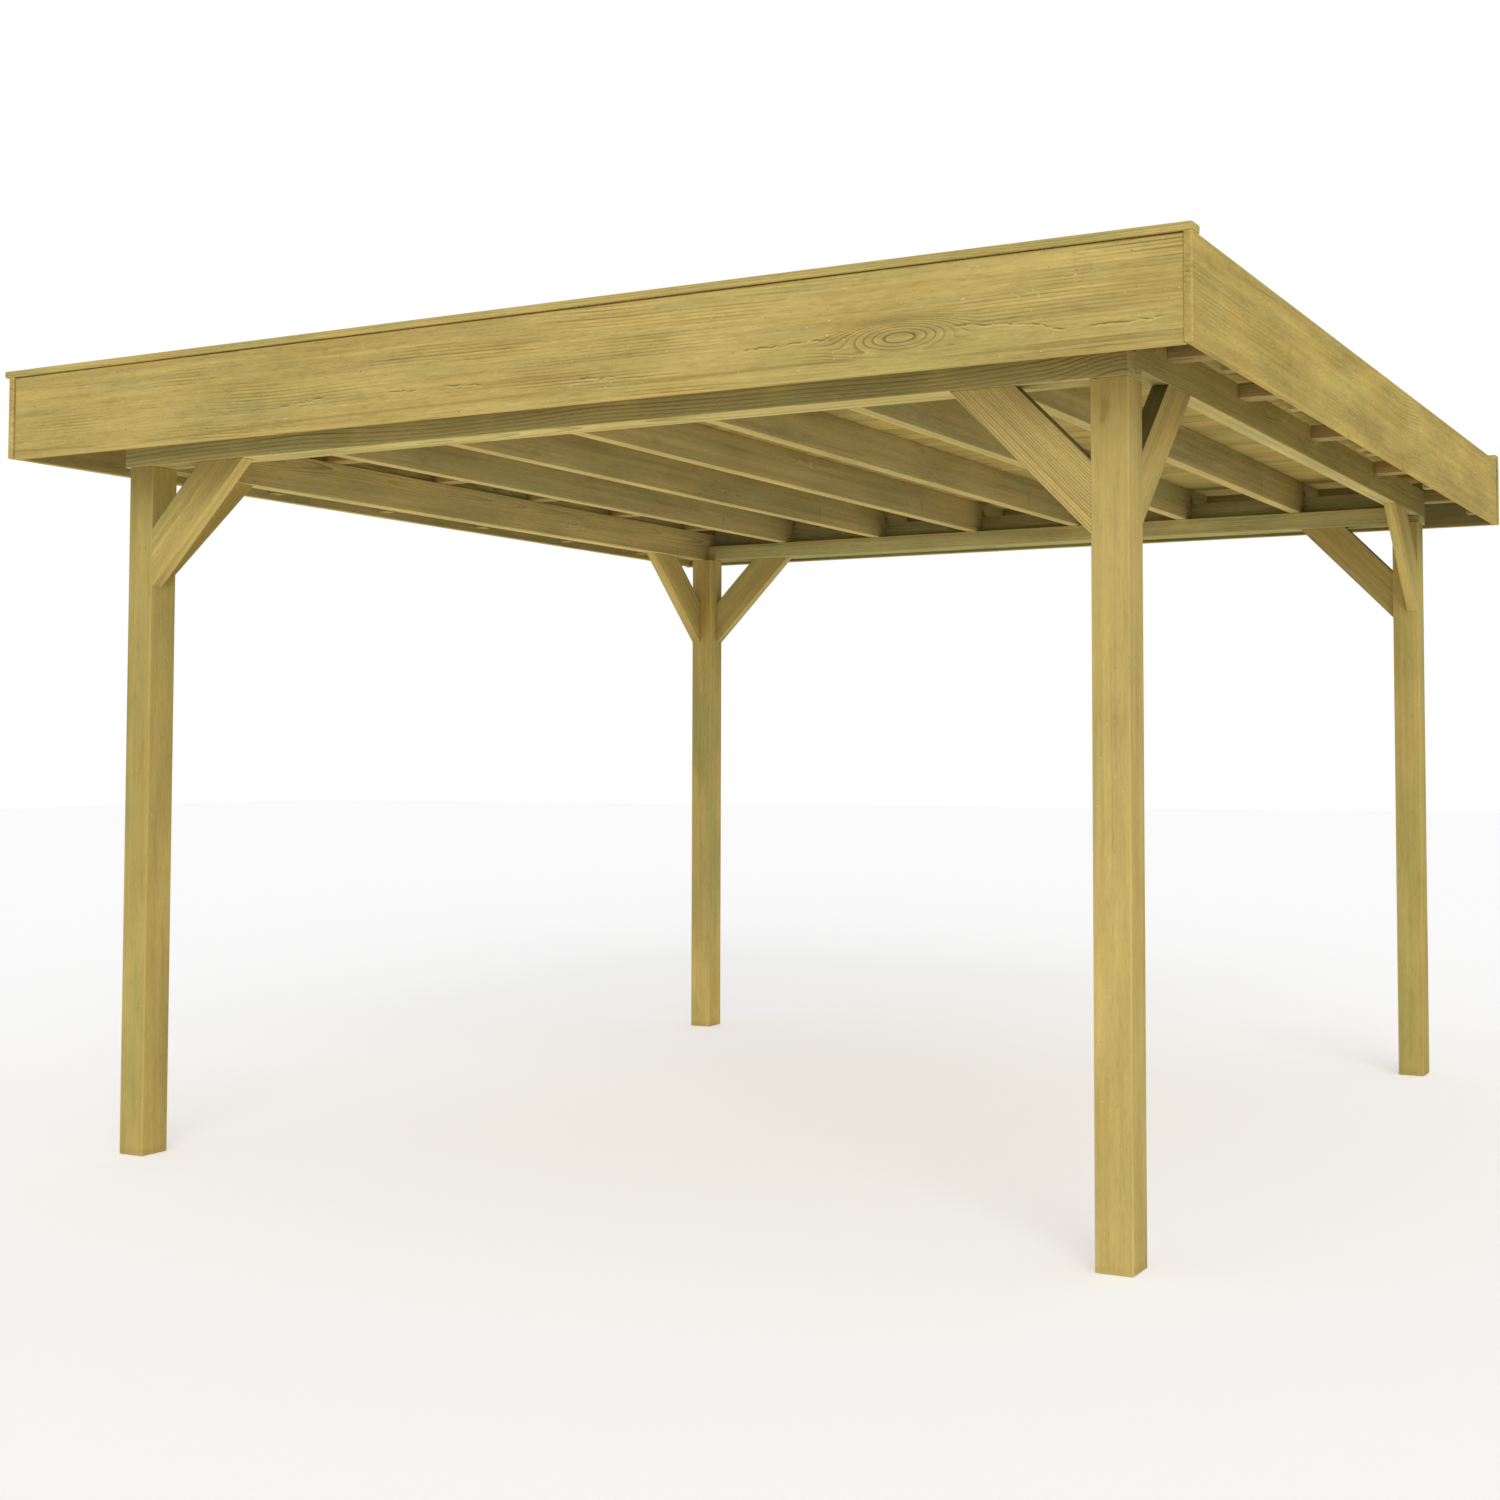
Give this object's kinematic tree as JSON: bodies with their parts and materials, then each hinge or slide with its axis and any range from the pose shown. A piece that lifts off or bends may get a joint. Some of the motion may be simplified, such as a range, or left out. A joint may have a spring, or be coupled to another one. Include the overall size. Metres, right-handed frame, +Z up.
{
  "type": "garden pavilion",
  "caption": "Flat-roofed open timber garden pavilion on corner posts, with diagonal braces, rafters, a boarded roof and a deep fascia on all sides.",
  "frame": {"origin": "on the ground, at the centre of the roof's outline, midway between its outermost faces left and right, and front and back", "axes": "+X to the right along the front, +Y from the front to the back, +Z up"},
  "size_m": [3.929, 3.93, 2.475],
  "materials": {
    "post_pine": "planed, green-tinted pressure-treated pine",
    "frame_pine": "planed, green-tinted pressure-treated pine",
    "brace_pine": "planed, green-tinted pressure-treated pine",
    "fascia_pine": "planed, green-tinted pressure-treated pine",
    "board_pine": "planed tongue-and-groove boards",
    "roof_sheet": "matt dark roofing sheet"
  },
  "bodies": {
    "root": {"post_front_left": "post_pine", "post_front_right": "post_pine", "post_back_left": "post_pine", "post_back_right": "post_pine", "beam_front": "frame_pine", "beam_back": "frame_pine", "beam_left": "frame_pine", "beam_right": "frame_pine", "rafter_1": "frame_pine", "rafter_2": "frame_pine", "rafter_3": "frame_pine", "rafter_4": "frame_pine", "rafter_5": "frame_pine", "rafter_6": "frame_pine", "brace_front_left": "brace_pine", "brace_front_right": "brace_pine", "brace_back_left": "brace_pine", "brace_back_right": "brace_pine", "brace_left_front": "brace_pine", "brace_left_back": "brace_pine", "brace_right_front": "brace_pine", "brace_right_back": "brace_pine", "blocking_front": "frame_pine", "blocking_back": "frame_pine", "blocking_left": "frame_pine", "lookout_left_1": "frame_pine", "lookout_left_2": "frame_pine", "lookout_left_3": "frame_pine", "lookout_left_4": "frame_pine", "lookout_left_5": "frame_pine", "lookout_left_6": "frame_pine", "lookout_right_1": "frame_pine", "lookout_right_2": "frame_pine", "lookout_right_3": "frame_pine", "lookout_right_4": "frame_pine", "lookout_right_5": "frame_pine", "cleats": "frame_pine", "fascia_front": "fascia_pine", "fascia_back": "fascia_pine", "fascia_left": "fascia_pine", "fascia_right": "fascia_pine", "cap_front": "fascia_pine", "cap_back": "fascia_pine", "roof_boards": "board_pine", "roof_covering": "roof_sheet"}
  },
  "joints": []
}
